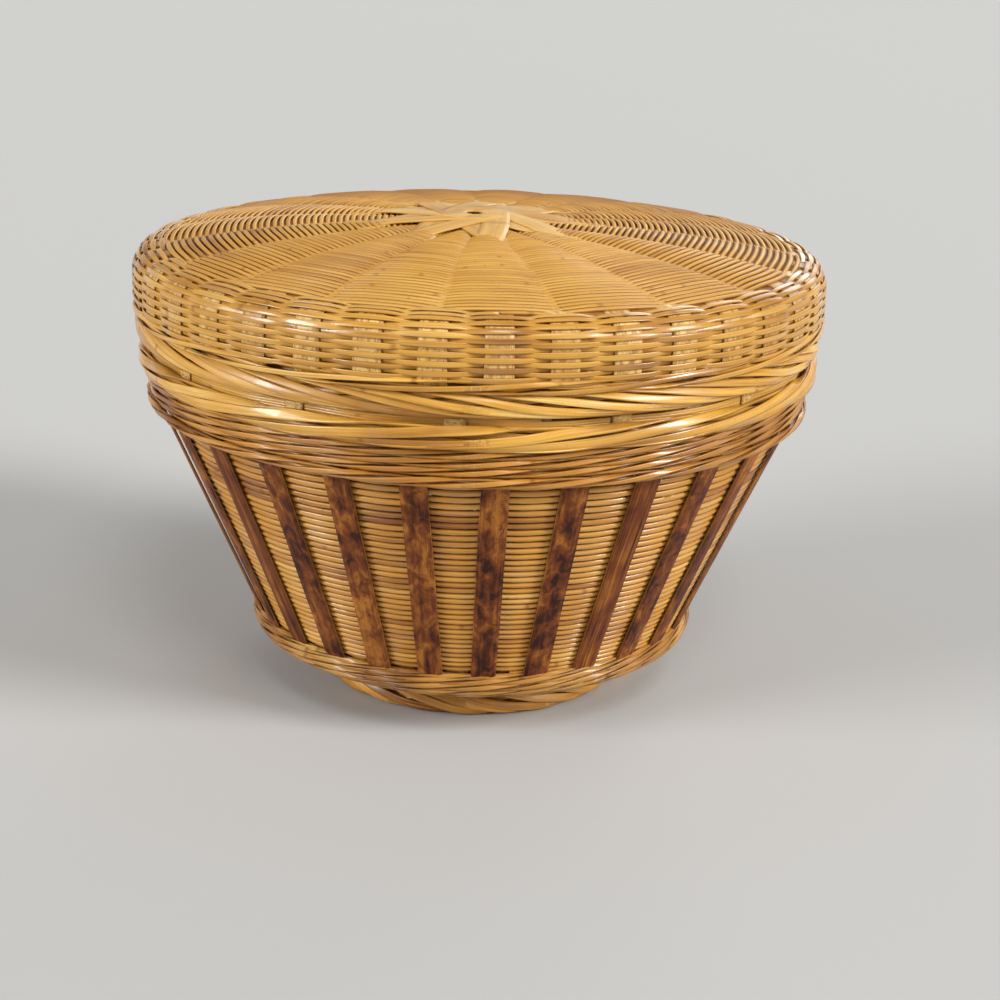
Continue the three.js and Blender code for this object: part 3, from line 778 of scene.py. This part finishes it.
# Lid ribs and stakes. Wide flat ribs run out from the hub under the top, almost edge to edge. At
# the shoulder each splits into two pale stakes, which turn down and stand apart on the skirt.
RIB_COUNT = 19
FRONT_RIB = math.radians(3.0)
skirt_low, skirt_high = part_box("lid_skirt_weave")
lid_radius = skirt_high.x
SHOULDER_WIDTH = 9 * MM
SHOULDER_HEIGHT = 10.4 * MM
DOME_RISE = 9.6 * MM
FLAT_RADIUS = 40.3 * MM
HUB_RADIUS = 22 * MM
dome_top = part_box("lid_dome_weave")[1].z
shoulder_foot = dome_top - DOME_RISE - SHOULDER_HEIGHT
shoulder_line = [
    Vector((lid_radius - SHOULDER_WIDTH * (1 - math.cos(turn)), 0,
            shoulder_foot + SHOULDER_HEIGHT * math.sin(turn)))
    for turn in np.linspace(0, math.pi / 2, 9)
]
dome_line = []
for radius in np.linspace(lid_radius - SHOULDER_WIDTH, HUB_RADIUS, 24):
    fall = max(0, (radius - FLAT_RADIUS) / (lid_radius - SHOULDER_WIDTH - FLAT_RADIUS))
    dome_line.append(Vector((radius, 0, dome_top - DOME_RISE * fall ** 2)))
skirt_line = [
    Vector((lid_radius - 1.8 * MM, 0, skirt_low.z - 0.6 * MM)),
    Vector((lid_radius, 0, skirt_low.z + 3 * MM)),
    *shoulder_line,
    dome_line[1],
]
# The ribs are pale splints like the hub's, but their finish is darker: painted shade in the slots
# between the rods that lie over them.
rib_shade_bamboo = bamboo("rib bamboo with painted shade", (0.13, 0.045, 0.008, 1), (0.34, 0.15, 0.030, 1),
                (0.52, 0.27, 0.07, 1), fibre=0.7, gloss=0.6, coat=0.0, relief=0.5)
grown("lid_ribs", "lid", ["lid_rib_frame"],
      upright_tree("lid ribs", RIB_COUNT, steps=48), rib_shade_bamboo, {
          "Start Width": 40 * MM, "End Width": 20 * MM, "Thickness": 0.9 * MM,
          "Sink": 1.95 * MM, "First Angle": FRONT_RIB, "Crowding": 0.97, "Raggedness": 0.15,
          "Seed": 6.0,
      }, [dome_line + [Vector((1 * MM, 0, dome_top + 0.6 * MM))]])
grown("lid_stakes", "lid", [],
      upright_tree("lid stakes", 2 * RIB_COUNT, steps=24), pale, {
          "Start Width": 11 * MM, "End Width": 10 * MM, "Thickness": 0.75 * MM,
          "Sink": 1.45 * MM, "First Angle": FRONT_RIB, "Crowding": 0.97, "Raggedness": 0.3,
          "Seed": 9.0,
      }, [skirt_line + [dome_line[2] - Vector((0, 0, 1.2 * MM))]])

# Lid top. One fine golden rod after another is woven over and under the ribs, close together,
# from the hub out to the shoulder. They are browner on the far side.
golden = bamboo("golden bamboo rods", (0.31, 0.112, 0.013, 1), (0.63, 0.325, 0.048, 1),
                (0.82, 0.51, 0.125, 1), gloss=0.42, coat=0.05, mixed=0.2, far_brown=0.75)
top_line = [dome_line[0].lerp(dome_line[1], 0.5), *dome_line[1:],
            dome_line[-1] - Vector((13.5 * MM, 0, 0))]
woven("lid_top_rods", "lid", ["lid_dome_weave"], top_line,
      rows=91, stakes=RIB_COUNT, steps_a_stake=9, starts=1, sizes={
          "Packing": -0.08, "First Stake": FRONT_RIB, "Swing": 1.2 * MM, "Squareness": 1.5,
          "Rod Height": 1.68 * MM, "Rod Thickness": 1.2 * MM, "Sink": 1.9 * MM,
          "Wander": 0.7 * MM, "Seed": 51.0,
      }, finish=golden)

# Lid skirt. Below the shoulder the ribs have parted into twice as many stakes, and polished rods
# go in and out of each of them. A twine of three splints closes the weave above the border.
polished = bamboo("polished honey bamboo", (0.24, 0.078, 0.008, 1), (0.64, 0.32, 0.045, 1),
                  (0.88, 0.59, 0.17, 1), gloss=0.3, coat=0.38, mixed=0.18)
woven("lid_skirt_rods", "lid", ["lid_skirt_weave"], skirt_line,
      rows=18, stakes=2 * RIB_COUNT, steps_a_stake=8, starts=2, sizes={
          "First Stake": FRONT_RIB, "Swing": 0.85 * MM, "Squareness": 1.7,
          "Rod Height": 2.3 * MM, "Rod Thickness": 0.75 * MM, "Sink": 1.45 * MM,
          "Wander": 0.45 * MM, "Seed": 61.0,
      }, corners=SPLINT_CORNERS, finish=polished)
grown("lid_skirt_twine", "lid", [],
      twisted_tree("lid twine", strands=3, leaves=14, steps=180), honey, {
          "Ring Radius": lid_radius - 1.3 * MM, "Ring Height": skirt_low.z + 0.9 * MM,
          "Depth": 0.7 * MM, "Rise": 1.9 * MM, "Splint Width": 1.9 * MM,
          "Splint Thickness": 0.8 * MM, "Shingle": 0.1, "Looseness": 0.6, "Seed": 66.0,
      })

# Lid border. Long flat splints are wound over a hoop round the lid's lower edge, falling to the
# right, so that they lie like feathers one over the next.
border_low, border_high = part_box("lid_border_hoop")
border_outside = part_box("lid_border_strand_1")[1].x
grown("lid_border_splints", "lid",
      [f"lid_border_strand_{n}" for n in (1, 2, 3, 4)],
      twisted_tree("lid border splints", strands=8, leaves=-37, steps=180), honey, {
          "Ring Radius": border_outside - 2.1 * MM,
          "Ring Height": (border_low.z + border_high.z) / 2 + 0.3 * MM,
          "Depth": 1.3 * MM, "Rise": 3.9 * MM, "Splint Width": 3.1 * MM,
          "Splint Thickness": 0.9 * MM, "Shingle": 0.4, "Sweep": 0.45, "Looseness": 0.65,
          "Seed": 71.0,
      })
refinish("lid_border_hoop", hoop_bamboo)

# Hub. The pale splints that make the ribs cross one over another in the middle of the lid, each
# a little to one side, and leave a small dark eye.
LAID_LENGTH = 0.06


def laid_tree(name, count, steps):
    """Flat splints that each follow a line of their own, lying level."""
    nodes, size = geometry_tree(name, ["Width", "Thickness", "Seed"])
    sheet = strip_sheet(nodes, steps, count)
    line = nodes.add("GeometryNodeMeshToCurve", {"Mesh": size["Geometry"]})
    share = sheet["step"] / steps
    spot = nodes.add("GeometryNodeSampleCurve", {
        "Curves": line, "Factor": share, "Curve Index": sheet["splint"],
    }, mode="FACTOR")
    x, y, z = spot["Position"].parts()
    along_x, along_y, _ = spot["Tangent"].parts()
    level = (along_x * along_x + along_y * along_y) ** 0.5
    beside = sheet["wide"] * size["Width"] / level
    place = nodes.vector(x - along_y * beside, y + along_x * beside,
                         z + sheet["thick"] * size["Thickness"])
    return rolled(nodes, size, sheet, place, share * LAID_LENGTH,
                  chance(nodes, sheet["splint"], size["Seed"]))


HUB_SPLINTS = 9
HUB_STEPS = 32
FIRST_HUB_SPLINT = 70
HUB_ASIDE = 8.8 * MM
HUB_SLANT = 0.54 * MM
hub_reach = HUB_RADIUS + 30 * MM
eye = Vector((-3 * MM, 3 * MM, 0))
under_rods = dome_top - 1.65 * MM
over_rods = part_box("lid_hub_splints")[1].z - 1.3 * MM
hub_lines = []
for number in range(HUB_SPLINTS):
    way = math.radians(FIRST_HUB_SPLINT + number * 360 / HUB_SPLINTS)
    forward = Vector((math.cos(way), math.sin(way), 0))
    left = Vector((-forward.y, forward.x, 0))
    line = []
    for step in np.linspace(-1, 1, 17):
        out = abs(step)
        climb = max(0, 1 - out ** 1.5 * 1.15)
        slant = HUB_SLANT * step if out < 0.7 else 0
        point = eye + forward * (step * hub_reach) + left * HUB_ASIDE * (1 - out ** 3 * 0.6)
        point.z = under_rods + (over_rods - under_rods) * climb + slant
        line.append(point)
    hub_lines.append(line)
straw = bamboo("straw bamboo", (0.42, 0.18, 0.030, 1), (0.76, 0.44, 0.10, 1),
               (0.92, 0.64, 0.23, 1), fibre=0.45, gloss=0.45, coat=0.12, relief=0.4)
grown("hub_splints", "lid", ["lid_hub_splints"],
      laid_tree("hub splints", HUB_SPLINTS, HUB_STEPS), straw,
      {"Width": 11.6 * MM, "Thickness": 0.8 * MM, "Seed": 8.0}, hub_lines)

# Studio floor. The basket stands on a plain, matt, pale floor. From five metres away it curves up
# all round, so that no hard edge shows behind the basket.
FLOOR_SIDES = 72
FLOOR_PROFILE = ((5.0, 0.0), (6.0, 0.05), (7.0, 0.2), (8.0, 0.5), (9.0, 1.0), (9.6, 1.6))
floor_points = []
for radius, height in FLOOR_PROFILE:
    for turn in range(FLOOR_SIDES):
        angle = 2 * math.pi * turn / FLOOR_SIDES
        floor_points.append((radius * math.cos(angle), radius * math.sin(angle), height))
floor_faces = [range(FLOOR_SIDES)]
for step in range(len(FLOOR_PROFILE) - 1):
    for turn in range(FLOOR_SIDES):
        here = step * FLOOR_SIDES + turn
        beside = step * FLOOR_SIDES + (turn + 1) % FLOOR_SIDES
        floor_faces.append((here, here + FLOOR_SIDES, beside + FLOOR_SIDES, beside))
floor_mesh = bpy.data.meshes.new("floor")
floor_mesh.from_pydata(floor_points, [], floor_faces)
floor_mesh.shade_smooth()
floor = bpy.data.objects.new("floor", floor_mesh)
bpy.context.scene.collection.objects.link(floor)
pale_floor, floor_nodes, floor_shader = new_finish("pale floor")
floor_nodes.fill(floor_shader, {"Base Color": (0.53, 0.53, 0.52, 1), "Roughness": 0.9})
floor_mesh.materials.append(pale_floor)

# Light. Soft daylight comes low from both sides, and more weakly from the front above and from
# the back. The pale walls of the room fill the shadows.


def soft_light(name, direction, spread, power):
    """Far daylight that comes from a direction. Its spread in degrees makes the shadows soft."""
    light = bpy.data.lights.new(name, "SUN")
    light.angle = math.radians(spread)
    light.energy = power
    holder = bpy.data.objects.new(name, light)
    holder.rotation_euler = Vector(direction).to_track_quat("Z", "Y").to_euler()
    bpy.context.scene.collection.objects.link(holder)


soft_light("front light", (0.2, -0.7, 0.95), spread=20, power=0.7)
soft_light("left light", (-0.9, -0.42, 0.36), spread=28, power=2.15)
soft_light("right light", (0.86, -0.36, 0.46), spread=20, power=2.75)
soft_light("back light", (0.35, 0.85, 0.36), spread=30, power=0.5)
room = bpy.data.worlds.new("room")
bpy.context.scene.world = room
room.use_nodes = True
Nodes(room.node_tree).fill(room.node_tree.nodes["Background"], {
    "Color": (1.0, 0.98, 0.95, 1), "Strength": 0.31,
})
bpy.context.scene.view_settings.view_transform = "Standard"

# Camera. It stands in front of the basket and looks down on the lid, at the photograph's angle,
# with the slight roll of a camera held by hand. The turns are in degrees.
LENS_LENGTH = 68.4
CAMERA_PLACE = (0, -0.7647, 0.3256)
TURN, TILT, ROLL = -0.81, 71.6, 1.75


def turned(degrees, axis):
    return Matrix.Rotation(math.radians(degrees), 3, axis)


lens = bpy.data.cameras.new("camera")
lens.lens = LENS_LENGTH
camera = bpy.data.objects.new("camera", lens)
camera.location = CAMERA_PLACE
aim = turned(TURN, "Z") @ turned(TILT, "X") @ turned(ROLL, "Z")
camera.rotation_euler = aim.to_euler()
bpy.context.scene.collection.objects.link(camera)
bpy.context.scene.camera = camera
